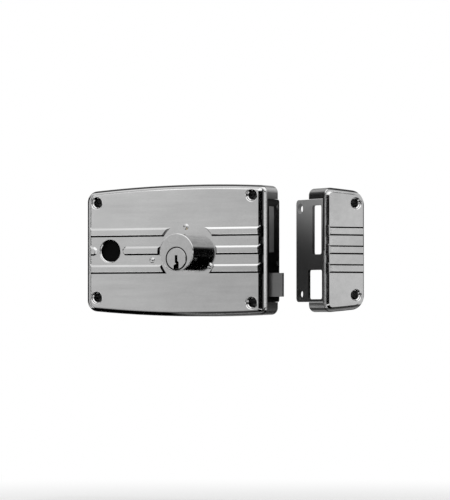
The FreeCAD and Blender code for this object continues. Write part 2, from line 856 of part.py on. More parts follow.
def dead_bolt_tail():
    top = bolt_bottom + bolt_tail_height
    y = (tail_front, -tail_back)
    shape = block((bolt_tail_end, bolt_left + bolt_joint), y, (bolt_bottom, top))
    corners = [e for e in shape.Edges if max(abs(v.X - bolt_tail_end) for v in e.Vertexes) < 0.01
               and abs(e.tangentAt(e.FirstParameter).y) > 0.99]
    shape = shape.makeFillet(tail_corner, corners)
    half = lug_radius + lug_slot_gap
    slot = block((lug_slot_x() - half, lug_slot_x() + half), y, (bolt_bottom - 1, lug_slot_top))
    shape = shape.cut(slot).cut(guide_slot(bolt_post, bolt_throw, y))
    for shift in (0, -bolt_throw):
        x = detent_nose_x + shift
        notch = [(x - detent_nose_half, top + 0.01), (x, top - detent_notch),
                 (x + detent_nose_half, top + 0.01)]
        shape = shape.cut(plate_y(notch, y))
    for x, height in bolt_rivet_places():
        shape = shape.cut(rod(bolt_rivet_radius, y, x, height))
    return shape


def bolt_rivets():
    return group([rod(bolt_rivet_radius, (bolt_front, -tail_back), x, z) for x, z in bolt_rivet_places()])


def guide_post(place, shoulder_radius, shaft_radius, shoulder, clip_at):
    """Turned post: spigot in the base plate, shoulder, pin and a groove for its clip."""
    x, z = place
    end = clip_at - 2 * post_clip
    pieces = [rod(post_spigot_radius, (plate_front, 0), x, z)]
    pieces.append(rod(shoulder_radius, (shoulder, plate_front), x, z))
    pieces.append(rod(shaft_radius, (end, shoulder), x, z))
    groove = tube(shaft_radius + 1, shaft_radius - post_groove, (clip_at - post_clip, clip_at), x, z)
    return join(pieces).cut(groove)


def tail_posts():
    shoulder = -tail_back + slide_gap
    clip_at = tail_front - slide_gap
    return shoulder, clip_at


def bolt_guide_post():
    return guide_post(bolt_post, post_shoulder_radius, post_pin_radius, *tail_posts())


def latch_guide_post():
    return guide_post(latch_post, post_shoulder_radius, post_pin_radius, *tail_posts())


def lever_post():
    return guide_post(lever_pivot, lever_shoulder_radius, lever_pivot_radius,
                      lever_back_y + slide_gap, lever_front_y - slide_gap)


def post_clips():
    clip_at = tail_posts()[1]
    clips = []
    for (x, z), radius, level in ((bolt_post, post_pin_radius, clip_at),
                                  (latch_post, post_pin_radius, clip_at),
                                  (lever_pivot, lever_pivot_radius, lever_front_y - slide_gap)):
        thick = (level - post_clip, level)
        clips.append(c_clip(radius + post_clip_width, radius - post_groove, thick, x, z, 1))
    return group(clips)


def button_guide_pin():
    spigot = rod(post_spigot_radius, (plate_front, 0), button_x, guide_pin_z)
    pin = rod(guide_pin_radius, (-guide_pin_end, plate_front), button_x, guide_pin_z)
    return join([spigot, pin])


def detent_top():
    return bolt_bottom + bolt_tail_height + detent_lift + detent_holder_height


def detent_holder():
    x = (detent_holder_x, detent_holder_x + detent_holder_width)
    top = detent_top()
    shape = block(x, (tail_front - 1, plate_front), (top - detent_holder_height, top))
    centre = (x[0] + x[1]) / 2
    middle = (tail_front - tail_back) / 2
    return shape.cut(bar_z(detent_screw_radius, (top - detent_holder_height, top), centre, middle))


def detent_spring():
    tail_top = bolt_bottom + bolt_tail_height
    nose = tail_top - detent_notch + 2 * slide_gap
    lifted = tail_top + 2 * slide_gap + detent_notch / 2
    top = detent_top()
    line = [(detent_holder_x + detent_holder_width, top), (detent_holder_x - detent_screw_radius, top),
            (detent_nose_x + detent_nose_half, lifted), (detent_nose_x, nose),
            (detent_nose_x - detent_nose_half, lifted)]
    upper = [(x, z + detent_strip) for x, z in reversed(line)]
    shape = plate_y(line + upper, (tail_front, -tail_back))
    centre = detent_holder_x + detent_holder_width / 2
    middle = (tail_front - tail_back) / 2
    return shape.cut(bar_z(detent_screw_radius, (top - 1, top + 1), centre, middle))


def detent_screw():
    top = detent_top()
    centre = detent_holder_x + detent_holder_width / 2
    middle = (tail_front - tail_back) / 2
    shank = bar_z(detent_screw_radius, (top - detent_holder_height, top + detent_strip), centre, middle)
    head = (top + detent_strip, top + detent_strip + detent_screw_head)
    head = bar_z(2 * detent_screw_radius, head, centre, middle)
    return join([shank, head])


def latch_head():
    nose_points = [(latch_body_right, -latch_front), (latch_tip, -latch_front),
                   (latch_tip, -latch_front + latch_land), (latch_tip - latch_bevel, latch_back),
                   (latch_body_right, latch_back)]
    nose = plate_z(nose_points, (latch_bottom, latch_top))
    body_z = (latch_bottom + latch_body_gap, latch_top - latch_body_gap)
    body = block((latch_body_left, latch_body_right), (-latch_front, -latch_body_back), body_z)
    shape = join([nose, body])
    y = (tail_front, -tail_back)
    seat = block((latch_body_left, latch_body_left + latch_joint), y, (latch_tail_bottom, latch_tail_top))
    shape = shape.cut(seat)
    for x, z in latch_rivet_places():
        shape = shape.cut(rod(latch_rivet_radius, (-latch_front, -latch_body_back), x, z))
    return shape


def latch_rivet_places():
    x = latch_body_left + latch_joint / 2
    return [(x, latch_tail_top - latch_tail_height * share) for share in (0.25, 0.75)]


def ramp_depth(x):
    """Depth of the ramp's face at one place along X."""
    return stem_mid_y + ramp_gradient * (x - button_x)


def latch_tail():
    y = (tail_front, -tail_back)
    web_bottom = stem_bottom - slide_gap - ramp_web
    shape = block((latch_tail_end, latch_body_left + latch_joint), y, (latch_tail_bottom, latch_tail_top))
    arm = block((latch_tail_end, arm_right), y, (latch_tail_bottom, web_bottom))
    web = block((ramp_left, arm_right), (-ramp_web_front, -ramp_back),
                (web_bottom, stem_bottom - slide_gap))
    ramp_end = button_x + (-ramp_back - stem_mid_y) / ramp_gradient
    wedge = plate_z([(ramp_left, ramp_depth(ramp_left)), (ramp_end, -ramp_back), (ramp_left, -ramp_back)],
                    (stem_bottom - slide_gap, ramp_top))
    shape = join([shape, arm, web, wedge])
    shape = shape.cut(guide_slot(latch_post, -latch_reach, y))
    pin_x = lever_pin_place()[0]
    half = lever_pin_radius + lever_pin_gap
    low = lever_pivot[1] - lever_pin_reach - half
    shape = shape.cut(block((pin_x - half, pin_x + half), y, (low, latch_tail_top + 1)))
    for x, z in latch_rivet_places():
        shape = shape.cut(rod(latch_rivet_radius, y, x, z))
    return shape


def latch_rivets():
    return group([rod(latch_rivet_radius, (-latch_front, -latch_body_back), x, z)
                  for x, z in latch_rivet_places()])


def spring_bracket_piece():
    x = (spring_bracket_x - spring_bracket, spring_bracket_x)
    height = spring_radius + spring_wire
    upright = block(x, (spring_y - height, plate_front), (spring_z - 2 * height, spring_z + 2 * height))
    rod_end = latch_body_left - latch_reach - slide_gap
    return join([upright, bar_x(spring_rod_radius, (x[0], rod_end), spring_y, spring_z)])


def latch_spring():
    """Compression spring between its bracket and the latch, wound along X."""
    length = latch_body_left - spring_bracket_x - 2 * spring_wire
    helix = Part.makeHelix(length / spring_turns, length, spring_radius)
    start = helix.Edges[0].valueAt(helix.Edges[0].FirstParameter)
    along = helix.Edges[0].tangentAt(helix.Edges[0].FirstParameter)
    section = Part.makePolygon(Part.makeCircle(spring_wire, start, along).discretize(spring_facets + 1))
    coil = Part.Wire(helix.Edges).makePipeShell([section], True, True)
    coil.rotate(V(0, 0, 0), V(0, 1, 0), 90)
    coil.translate(V(spring_bracket_x + spring_wire, spring_y, spring_z))
    return coil


def push_button():
    radius = button_hole_radius - button_gap
    shape = rod(radius, (button_front, stem_front), button_x, button_z)
    curve = (radius ** 2 + button_dish ** 2) / (2 * button_dish)
    dish = Part.makeSphere(curve, V(button_x, button_front + button_dish - curve, button_z))
    rim = [e for e in shape.Edges if len(e.Vertexes) == 1 and abs(e.Vertexes[0].Y - button_front) < 0.01]
    shape = shape.makeFillet(button_dish, rim)
    return shape.cut(dish)


def button_stem():
    left = button_x - stem_half_width
    right = button_x + stem_half_width
    points = [(left, stem_front), (right, stem_front), (right, ramp_depth(right)), (left, ramp_depth(left))]
    shape = plate_z(points, (stem_bottom, stem_top))
    bore = rod(guide_pin_radius + guide_pin_gap, (stem_front, -ramp_back), button_x, guide_pin_z)
    return shape.cut(bore)


def button_tube():
    inner = button_hole_radius
    return tube(inner + button_tube_wall, inner, (panel_back, -button_tube_end), button_x, button_z)


def lever_pin_place():
    angle = math.radians(lever_half_turn)
    return (lever_pivot[0] + lever_pin_reach * math.sin(angle),
            lever_pivot[1] - lever_pin_reach * math.cos(angle))


def draw_lever():
    y = (lever_front_y, lever_back_y)
    angle = math.radians(lever_half_turn)
    tip = (lever_pivot[0] + lever_arm_reach * math.cos(angle),
           lever_pivot[1] + lever_arm_reach * math.sin(angle))
    half = lever_width / 2
    pieces = [rod(lever_hub_radius, y, *lever_pivot)]
    pieces.append(link(lever_pivot, lever_pin_place(), half, y))
    pieces.append(link(lever_pivot, tip, half, y))
    shape = join(pieces)
    shape = shape.cut(rod(lever_pivot_radius + lever_pivot_gap, y, *lever_pivot))
    return shape.cut(rod(lever_pin_radius / 2, y, *lever_pin_place()))


def lever_pin():
    x, z = lever_pin_place()
    pin = rod(lever_pin_radius, (tail_front, lever_front_y), x, z)
    return join([pin, rod(lever_pin_radius / 2, (lever_front_y, lever_back_y), x, z)])


def turned(shape):
    """The strike's pieces are built with the door shut and turned to their place in the photograph."""
    shape.rotate(V(strike_pole[0], strike_pole[1], 0), V(0, 0, 1), strike_turn)
    return shape


def strike_cover():
    ribs = []
    for z in rib_places:
        ribs.append(((strike_left + strike_rib_margin_left, strike_right - strike_rib_margin_right), z,
                     (False, False)))
    shape = pressed_cover(strike_shell, strike_border, ribs, False)
    back = prism(strike_shell, 0, (plate_front, 0)).cut(prism(strike_shell, sheet, (plate_front, 0)))
    shape = join([shape, back])
    cuts = [block((strike_left - 1, strike_left + strike_plate + cover_gap),
                  (-strike_plate_front - cover_gap, 1),
                  (strike_plate_bottom - cover_gap, strike_plate_top + cover_gap))]
    for x, z in strike_holes:
        cuts.append(rolled_hole(screw_hole_radius, hole_round, x, z))
    for cut in cuts:
        shape = shape.cut(cut)
    return turned(shape)


def strike_plate_piece():
    x = (strike_left, strike_left + strike_plate)
    shape = block(x, (-strike_plate_front, strike_plate_back), (strike_plate_bottom, strike_plate_top))
    rear = [e for e in shape.Edges if max(abs(v.Y - strike_plate_back) for v in e.Vertexes) < 0.01
            and abs(e.tangentAt(e.FirstParameter).x) > 0.99]
    shape = shape.makeFillet(strike_plate_corner, rear)
    tab = block((x[0], x[1] + strike_tab), (front + sheet, front + sheet + strike_tab_thickness),
                (strike_plate_bottom + strike_tab_margin, strike_plate_top - strike_tab_margin))
    tab = tab.cut(block((x[0] - 1, x[1]), (front, -strike_plate_front), (-case_height, case_height)))
    shape = join([shape, tab])
    wide = (x[0] - 1, x[1] + 1)
    for y, z in ((upper_window_y, upper_window_z), (lower_window_y, lower_window_z)):
        shape = shape.cut(round_box(wide, y, z, window_corner, V(1, 0, 0)))
    for z in flange_hole_places:
        shape = shape.cut(bar_x(flange_hole_radius, x, flange_hole_y, z))
        sink = Part.makeCone(flange_hole_radius + flange_hole_sink, flange_hole_radius, flange_hole_sink,
                             V(x[0], flange_hole_y, z), V(1, 0, 0))
        shape = shape.cut(sink)
    return turned(shape)


def strike_sleeves():
    outer = screw_hole_radius + sleeve_wall
    return turned(group([tube(outer, screw_hole_radius, (panel_back, 0), x, z) for x, z in strike_holes]))


nodes = {
    "front_cover": front_cover,
    "base_plate": base_plate,
    "forend": forend_plate,
    "forend_screws": forend_screws,
    "corner_sleeves": corner_sleeves,
    "cylinder_barrel": cylinder_barrel,
    "cylinder_carrier": cylinder_carrier,
    "carrier_rivets": carrier_rivet_set,
    "barrel_screws": barrel_screws,
    "driver_pins": driver_pins,
    "pin_springs": pin_springs,
    "chamber_plugs": chamber_plugs,
    "cylinder_plug": cylinder_plug,
    "key_pins": key_pins,
    "plug_cam": plug_cam,
    "plug_circlip": plug_circlip,
    "dead_bolt_head": dead_bolt_head,
    "dead_bolt_tail": dead_bolt_tail,
    "bolt_rivets": bolt_rivets,
    "bolt_guide_post": bolt_guide_post,
    "latch_guide_post": latch_guide_post,
    "lever_post": lever_post,
    "post_clips": post_clips,
    "detent_holder": detent_holder,
    "detent_spring": detent_spring,
    "detent_screw": detent_screw,
    "latch_head": latch_head,
    "latch_tail": latch_tail,
    "latch_rivets": latch_rivets,
    "spring_bracket": spring_bracket_piece,
    "latch_spring": latch_spring,
    "push_button": push_button,
    "button_stem": button_stem,
    "button_tube": button_tube,
    "button_guide_pin": button_guide_pin,
    "draw_lever": draw_lever,
    "lever_pin": lever_pin,
    "strike_cover": strike_cover,
    "strike_plate": strike_plate_piece,
    "strike_sleeves": strike_sleeves,
}

os.makedirs("parts", exist_ok=True)
for name, make in nodes.items():
    shape = make()
    shape.exportStep("parts/" + name + ".step")
    print(name, len(shape.Solids), "solids", round(shape.Volume, 1), "mm3", shape.isValid())
print("dead bolt throw", round(bolt_throw, 4), "mm")
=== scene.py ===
# %% [markdown]
# A rim door lock and its strike
#
# The lock is a pressed steel cover, plated with nickel and polished, over a mechanism with a dead bolt and
# a latch. Its solids come ready made, at their real size, as a fixed frame. This script gives every surface
# its finish, adds the small things that only the eye needs, and sets up the camera and a plain studio.
# Everything is in metres, in the lock's own frame: X runs towards the strike, Y into the door, Z up.

import json
import math

import bpy
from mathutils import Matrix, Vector


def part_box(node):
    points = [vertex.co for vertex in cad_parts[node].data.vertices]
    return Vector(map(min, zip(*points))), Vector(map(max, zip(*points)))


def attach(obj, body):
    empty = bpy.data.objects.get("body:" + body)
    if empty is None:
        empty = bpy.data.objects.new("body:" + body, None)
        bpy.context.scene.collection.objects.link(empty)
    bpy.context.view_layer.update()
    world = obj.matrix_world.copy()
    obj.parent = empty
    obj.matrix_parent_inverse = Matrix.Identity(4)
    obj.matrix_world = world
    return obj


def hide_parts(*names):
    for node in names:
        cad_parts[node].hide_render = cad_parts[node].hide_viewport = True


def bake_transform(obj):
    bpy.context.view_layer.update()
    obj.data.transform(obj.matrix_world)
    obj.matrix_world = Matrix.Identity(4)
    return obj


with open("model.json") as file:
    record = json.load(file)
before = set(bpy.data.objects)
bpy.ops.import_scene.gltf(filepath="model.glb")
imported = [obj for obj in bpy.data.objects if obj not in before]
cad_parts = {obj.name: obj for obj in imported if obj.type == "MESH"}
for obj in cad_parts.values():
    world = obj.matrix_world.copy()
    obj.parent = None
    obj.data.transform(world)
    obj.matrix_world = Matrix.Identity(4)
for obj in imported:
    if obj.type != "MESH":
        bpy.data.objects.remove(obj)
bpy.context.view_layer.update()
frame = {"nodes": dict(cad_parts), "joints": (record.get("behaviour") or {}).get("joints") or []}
nodes = frame["nodes"]
MM = 0.001

# %% [markdown]
# The camera
#
# The photograph was taken from far away with a long lens, from the lock's right side and a little below it:
# upright edges stay upright, and the cover's right wall shows. The place of the cylinder in the picture,
# the height of the horizon and the scale at the cylinder fix the camera completely.

# %% Camera from the photograph
PHOTO_WIDTH = 450
PHOTO_HEIGHT = 500
SENSOR = 36.0
FOCAL_PIXELS = 3420.0
DISTANCE = 2.4
CLIP_END = 50
CAMERA_AZIMUTH = math.radians(26.0)
HORIZON_ROW = 318.6
CYLINDER_PIXEL = (187.6, 252.7)
PANEL_DEPTH = -23.7 * MM

pitch = math.atan((HORIZON_ROW - PHOTO_HEIGHT / 2) / FOCAL_PIXELS)
forward = Vector((-math.sin(CAMERA_AZIMUTH) * math.cos(pitch),
                  math.cos(CAMERA_AZIMUTH) * math.cos(pitch), math.sin(pitch)))
right = Vector((math.cos(CAMERA_AZIMUTH), math.sin(CAMERA_AZIMUTH), 0))
up = right.cross(forward)
aside = (CYLINDER_PIXEL[0] - PHOTO_WIDTH / 2) / FOCAL_PIXELS * DISTANCE
below = (CYLINDER_PIXEL[1] - PHOTO_HEIGHT / 2) / FOCAL_PIXELS * DISTANCE
camera = bpy.data.objects.new("camera", bpy.data.cameras.new("camera"))
camera.data.lens = FOCAL_PIXELS / PHOTO_HEIGHT * SENSOR
camera.data.sensor_width = SENSOR
camera.data.clip_end = CLIP_END
camera.location = Vector((0, PANEL_DEPTH, 0)) - forward * DISTANCE - right * aside + up * below
camera.rotation_mode = "QUATERNION"
camera.rotation_quaternion = forward.to_track_quat("-Z", "Y")
bpy.context.scene.collection.objects.link(camera)
bpy.context.scene.camera = camera
print("camera at", [round(v, 3) for v in camera.location], "lens", round(camera.data.lens, 1))

# %% [markdown]
# Writing shaders as sums
#
# A finish is a small calculation at every point of a surface. Written with nodes it is long, so one class
# wraps a node's output and lets it be added, taken away and multiplied like a number. Every other node comes
# from one method, `node`, which takes the type, the settings and the sockets.


# %% A socket that can be calculated with
class Value:
    """The output of a node, for use in Python expressions."""

    def __init__(self, graph, socket):
        self.graph = graph
        self.socket = socket

    def maths(self, operation, *values):
        return self.graph.node("ShaderNodeMath", {"operation": operation}, dict(enumerate(values)))

    def __add__(self, other):
        return self.maths("ADD", self, other)

    def __sub__(self, other):
        return self.maths("SUBTRACT", self, other)

    def __mul__(self, other):
        return self.maths("MULTIPLY", self, other)

    def __rsub__(self, other):
        return self.maths("SUBTRACT", other, self)

    __radd__ = __add__
    __rmul__ = __mul__

    def absolute(self):
        return self.maths("ABSOLUTE", self)

    def sine(self):
        return self.maths("SINE", self)

    def at_least(self, other):
        """The larger of two values."""
        return self.maths("MAXIMUM", self, other)

    def step(self, start, end):
        """0 before start, 1 after end, and smooth between."""
        return self.graph.node("ShaderNodeMapRange", {"interpolation_type": "SMOOTHSTEP"},
                               {"Value": self, "From Min": start, "From Max": end})


print("a value can be added, taken away, multiplied and stepped")


# %% A tree of nodes, and a material
def grey(level):
    return (level, level, level, 1)


class Graph:
    """The node tree of a material or of the world."""

    def __init__(self, tree):
        self.tree = tree

    def node(self, kind, settings=None, inputs=None, out=0):
        made = self.tree.nodes.new(kind)
        for name, setting in (settings or {}).items():
            setattr(made, name, setting)
        for name, value in (inputs or {}).items():
            if isinstance(value, Value):
                self.join(value, made.inputs[name])
            else:
                made.inputs[name].default_value = value
        return Value(self, made.outputs[out])

    def join(self, value, socket):
        self.tree.links.new(value.socket, socket)


class Paint(Graph):
    """A material: its shader, its nodes and the numbers that are the same all over it."""

    def __init__(self, name, **constants):
        self.material = bpy.data.materials.new(name)
        self.material.use_nodes = True
        super().__init__(self.material.node_tree)
        self.shader = self.tree.nodes["Principled BSDF"]
        for socket, number in constants.items():
            self.shader.inputs[self.socket_name(socket)].default_value = number
        self.place = self.node("ShaderNodeTexCoord", out="Object")

    @staticmethod
    def socket_name(word):
        return word.replace("_", " ").title().replace("Ior", "IOR")

    def axes(self):
        """X, Y and Z of the place as three numbers."""
        parts = self.node("ShaderNodeSeparateXYZ", None, {0: self.place})
        return [Value(self, output) for output in parts.socket.node.outputs]

    def noise(self, scale, detail, stretch=None):
        """A random pattern, which runs long along an axis whose factor in stretch is small."""
        place = self.place
        if stretch:
            place = self.node("ShaderNodeVectorMath", {"operation": "MULTIPLY"}, {0: place, 1: stretch})
        return self.node("ShaderNodeTexNoise", None, {"Vector": place, "Scale": scale, "Detail": detail})

    def mix(self, factor, first, second):
        """A colour between two colours."""
        return self.node("ShaderNodeMix", {"data_type": "RGBA"}, {0: factor, 6: first, 7: second}, out=2)

    def tone(self, level):
        """A level from 0 to 1 as a grey."""
        return self.mix(level, grey(0.0), grey(1.0))

    def length(self, first, second):
        """Length of a step that goes first along one axis and then second along another."""
        place = self.node("ShaderNodeCombineXYZ", None, {0: first, 1: second})
        return self.node("ShaderNodeVectorMath", {"operation": "LENGTH"}, {0: place}, out="Value")

    def bump(self, height, strength, distance, under=None):
        """Normal of a surface with small heights on it, on top of another bump if one is given."""
        inputs = {"Height": height, "Strength": strength, "Distance": distance}
        if under:
            inputs["Normal"] = under
        return self.node("ShaderNodeBump", None, inputs)

    def feed(self, **sockets):
        """Joins values that change over the surface to the shader."""
        for name, value in sockets.items():
            self.join(value, self.shader.inputs[self.socket_name(name)])
        return self.material

    def show(self, shader):
        """Puts another shader in the place of the material's own."""
        self.join(shader, self.tree.nodes["Material Output"].inputs["Surface"])
        return self.material

    def glow(self, colour):
        """Light in a colour, as a shader."""
        return self.node("ShaderNodeEmission", None, {"Color": colour})


print("a material can have patterns, tones, lengths, bumps and a glow")

# %% [markdown]
# Polished nickel
#
# The cover's face is bright nickel over pressed steel. It is a mirror that isn't quite flat: the press leaves
# shallow waves in the sheet, and handling leaves faint smears and hair scratches. The deep-drawn sides were
# never polished, so they are duller, and they are painted dark as painted shade, with painted light at their
# upper end and, on the strike, painted shade nearly black at the lower one. The polishing wheel ran up and
# down the lock: it went well over the rounded edge at the bolts' end, but stopped at the rim of the long
# curved edges and of the other side, which are duller and painted dark as painted shade. It also wore the
# flanks of the ribs a little flatter, which a bump does here, because the solids keep their shape. Painted
# shade darkens the crease at the bolts' end and the low edge. All of this follows the cover's own outline, so
# the finish measures how far each point lies from the sides, from the arcs and from the door. The strike is
# turned, and its distances run along its own directions.

# %% Places on the two covers
swing = next(j for j in frame["joints"] if j["name"] == "strike_swing")
POLE = Vector(swing["pos_m"])
ARC_X = 8.0 * MM
ARC_RISE = 1.6 * MM
LOCK = {
    "turn": 0.0,
    "wheel": True,
    "left": -81.6 * MM,
    "right": 60.0 * MM,
    "arc_radius": 970.0 * MM,
    "tallest": 92.6 * MM,
    "rims": {"left": (1.2 * MM, 1.9 * MM)},
    # Painted light at the upper end of the walls
    "painted_light_end": (35.0 * MM, 43.0 * MM),
    "painted_light_tone": 0.18,
}
STRIKE = {
    "turn": -math.radians(swing["range_deg"][0]),
    "wheel": False,
    "left": 63.5 * MM,
    "right": 96.0 * MM,
    "arc_radius": 800.0 * MM,
    "tallest": 91.2 * MM,
    "rims": {"left": (0.45 * MM, 0.6 * MM), "right": (1.1 * MM, 1.3 * MM)},
    # Painted light at the upper end of the walls
    "painted_light_end": (35.0 * MM, 43.0 * MM),
    "painted_light_tone": 0.10,
    # Painted shade at the lower end of the walls
    "painted_shade_end": (-38.0 * MM, -28.0 * MM),
}


def own_axes(paint, cover):
    """Width, depth and height of a point in a cover that is turned about the upright pole."""
    x, y, z = paint.axes()
    cos, sin = math.cos(cover["turn"]), math.sin(cover["turn"])
    across = (x - POLE.x) * cos + (y - POLE.y) * sin + POLE.x
    depth = (y - POLE.y) * cos - (x - POLE.x) * sin + POLE.y
    return across, depth, z


def from_arcs(paint, cover, across, height):
    """Distance inwards from the long curved edges."""
    off_middle = (height - ARC_RISE).absolute() + (cover["arc_radius"] - cover["tallest"] / 2)
    return cover["arc_radius"] - paint.length(across - ARC_X, off_middle)


def from_side(cover, side, across):
    """Distance inwards from the left or the right side."""
    return across - cover["left"] if side == "left" else cover["right"] - across


print("strike turned by", round(math.degrees(STRIKE["turn"]), 1), "degrees")

# %% Where the wheel reached, and where shade is painted
RIM_DEPTH = -21.2 * MM
WHEEL_DEPTH = -20.3 * MM
WHEEL_REACH = (4.0 * MM, 5.0 * MM)
POLISH_BLEND = (0.0, 0.3 * MM)
LOW_BLEND = (0.0, 1.0 * MM)
RIM_INSET = (1.6 * MM, 1.9 * MM)
TOP_RIM_THINNER = 0.35 * MM
# Painted shade in the crease at the bolts' end
CREASE_START = (2.1 * MM, 2.5 * MM)
CREASE_END = (3.1 * MM, 3.5 * MM)
CREASE_INSET = (2.6 * MM, 3.4 * MM)
CREASE_SHADE = 0.9
# Painted shade along the low edge: a narrow band at the left and a wider, lighter one at the right
LOW_SHADE_LEFT_TO_RIGHT = (-16.0 * MM, 14.0 * MM)
LEFT_LOW_SHADE_INSET = (2.2 * MM, 2.6 * MM)
RIGHT_LOW_SHADE_INSET = (3.2 * MM, 3.4 * MM)
RIGHT_LOW_SHADE = 0.85


def dull_shaded_walls(cover, across, depth):
    """1 on the walls, which are duller and painted dark as painted shade, from the depth at which the
    polishing wheel stopped.
    """
    limit = RIM_DEPTH
    if cover["wheel"]:
        reach = from_side(cover, "right", across).step(*WHEEL_REACH)
        limit = reach * (RIM_DEPTH - WHEEL_DEPTH) + WHEEL_DEPTH
    return (depth - limit).step(*POLISH_BLEND)


def shaded_dull_rim(cover, across, height, inset):
    """1 along the outer part of the edges that the wheel never reached, which are duller and painted dark as
    painted shade.
    """
    thinner = (height - ARC_RISE).step(*LOW_BLEND) * TOP_RIM_THINNER
    rim = 1 - (inset + thinner).step(*RIM_INSET)
    for side, blend in cover["rims"].items():
        rim = rim.at_least(1 - from_side(cover, side, across).step(*blend))
    return rim


def unshaded_part(cover, across, low, inset):
    """1 where the face is unshaded, and less in the crease and along the low edge, where shade is painted."""
    # Painted shade along the low edge
    rightwards = across.step(*LOW_SHADE_LEFT_TO_RIGHT)
    right_low_shade = low * rightwards * (1 - inset.step(*RIGHT_LOW_SHADE_INSET))
    left_low_shade = low * (1 - rightwards) * (1 - inset.step(*LEFT_LOW_SHADE_INSET))
    clean_and_unshaded = (1 - right_low_shade * RIGHT_LOW_SHADE) * (1 - left_low_shade)
    if cover["wheel"]:
        # Painted shade in the crease at the bolts' end
        inwards = from_side(cover, "right", across)
        crease = inwards.step(*CREASE_START) * (1 - inwards.step(*CREASE_END)) * inset.step(*CREASE_INSET)
        clean_and_unshaded = clean_and_unshaded * (1 - crease * CREASE_SHADE)
    return clean_and_unshaded


print("wheel went", round((WHEEL_DEPTH - RIM_DEPTH) / MM, 1), "mm over the edge at the bolts' end")

# %% Nickel for the two covers
FACE_TONE = 0.64
# Painted shade: the walls and the outer rims are painted much darker than the face
WALL_SHADE_TONE = 0.14
RIM_SHADE_TONE = 0.05
# Painted shade along the low rim, less of it towards the right
LOW_RIM_SHADE_TONE = 0.30
# Painted shade at the lower end of the strike's walls
PAINTED_SHADE_END_SHARE = 0.1
FACE_ROUGHNESS = 0.08
DULLER = 0.26
FLANK_WEAR = 0.17

# Scale, detail and stretch of each pattern
SMEAR = (38, 3, (0.5, 1, 1))
STREAK = (260, 2, (0.07, 1, 1))
CLOUD = (900, 2)
BROAD_WAVE = (26, 1)
SHORT_WAVE = (110, 1)

# The middle of each pattern, and what it adds to tone, roughness and height
SMEAR_MIDDLE = 0.4
MIDDLE = 0.5
SMEAR_TONE = 0.22
STREAK_TONE = 0.12
CLOUD_TONE = 0.05
SMEAR_ROUGHNESS = 0.06
STREAK_ROUGHNESS = 0.04
BROAD_WAVE_HEIGHT = 0.7
SHORT_WAVE_HEIGHT = 0.12
STREAK_HEIGHT = 0.01
WAVE_STRENGTH = 0.35
WAVE_DISTANCE = 0.6 * MM


def face_tone(cover, across, low, inset, marks):
    """Tone of the polished face with its marks and its dirt."""
    smear, streak, cloud = marks
    tone = FACE_TONE + (smear - SMEAR_MIDDLE) * SMEAR_TONE + (streak - MIDDLE) * STREAK_TONE
    return (tone + (cloud - MIDDLE) * CLOUD_TONE) * unshaded_part(cover, across, low, inset)


def wall_shade_tone(cover, height):
    """Painted shade of the walls, with painted light at their upper end and, where a cover has it, painted
    shade at the lower one.
    """
    # Painted shade on the walls, with painted light towards their upper end
    tone = WALL_SHADE_TONE + height.step(*cover["painted_light_end"]) * cover["painted_light_tone"]
    if "painted_shade_end" in cover:
        tone = tone * (PAINTED_SHADE_END_SHARE + height.step(*cover["painted_shade_end"]) * (1 - PAINTED_SHADE_END_SHARE))
    return tone


def nickel(name, cover):
    """Polished nickel with the marks, the dull walls and rims, and the painted light and shade of one cover.
    """
    paint = Paint(name, metallic=1.0)
    across, depth, height = own_axes(paint, cover)
    inset = from_arcs(paint, cover, across, height)
    low = (ARC_RISE - height).step(*LOW_BLEND)
    smear, streak, cloud = marks = [paint.noise(*pattern) for pattern in (SMEAR, STREAK, CLOUD)]
    walls = dull_shaded_walls(cover, across, depth)
    rim = shaded_dull_rim(cover, across, height, inset)
    # Painted shade on the rims, less of it along the low rim towards the right
    rim_shade_tone = RIM_SHADE_TONE * (1 - low) + low * across.step(*LOW_SHADE_LEFT_TO_RIGHT) * LOW_RIM_SHADE_TONE
    face = paint.tone(face_tone(cover, across, low, inset, marks))
    inside_rim = paint.mix(walls, face, paint.tone(wall_shade_tone(cover, height)))
    rough = FACE_ROUGHNESS + smear * SMEAR_ROUGHNESS + (streak - MIDDLE) * STREAK_ROUGHNESS
    waves = paint.noise(*BROAD_WAVE) * BROAD_WAVE_HEIGHT + paint.noise(*SHORT_WAVE) * SHORT_WAVE_HEIGHT
    raised = (PANEL_DEPTH - depth).at_least(0.0)
    worn = paint.bump(raised * -FLANK_WEAR, 1.0, 1.0)
    normal = paint.bump(waves + streak * STREAK_HEIGHT, WAVE_STRENGTH, WAVE_DISTANCE, worn)
    return paint.feed(base_color=paint.mix(rim, inside_rim, paint.tone(rim_shade_tone)),
                      roughness=rough + walls.at_least(rim) * DULLER, normal=normal)


cover_nickel = nickel("cover_nickel", LOCK)
strike_nickel = nickel("strike_nickel", STRIKE)
print("nickel for", cover_nickel.name, "and", strike_nickel.name)

# %% [markdown]
# The key cylinder
#
# The cylinder is turned brass with a satin nickel plate. Its face was faced on a lathe, which leaves fine
# rings, and its side has streaks along the axis where it was drawn and rubbed, darker with dirt. Painted
# shade darkens the gap round the plug, and the side is painted dark underneath as painted shade.

# %% Satin nickel for the cylinder
PLUG_DROP = 4.4 * MM
PLUG_EDGE = 7.9 * MM
# Painted shade in the gap round the plug
PLUG_GAP_SHADE = (0.2 * MM, 0.7 * MM)
FACE_EDGE = (-40.9 * MM, -40.5 * MM)
# Painted shade under the barrel's side
UNDERSIDE = (3.0 * MM, 4.5 * MM)
UNDERSIDE_SHADE = 0.92
SIDE_DIRT = 0.1
SIDE_STREAK_DIRT = 0.7
AXIS_STREAKS = (700, 3, (1, 0.06, 1))
SPOTS = (260, 3)
SATIN_TONE = 0.55
SATIN_STREAK_TONE = 0.14
SATIN_SPOT_TONE = 0.12
BRIGHTEST = 0.9
SATIN_ROUGHNESS = 0.05
SPOT_ROUGHNESS = 0.06
RING_HEIGHT = 0.12
AXIS_STREAK_HEIGHT = 0.12
SPOT_HEIGHT = 0.2
SATIN_STRENGTH = 0.25
FINE = 0.1 * MM
BARREL_RINGS = 0.45 * MM
PLUG_RINGS = 0.6 * MM


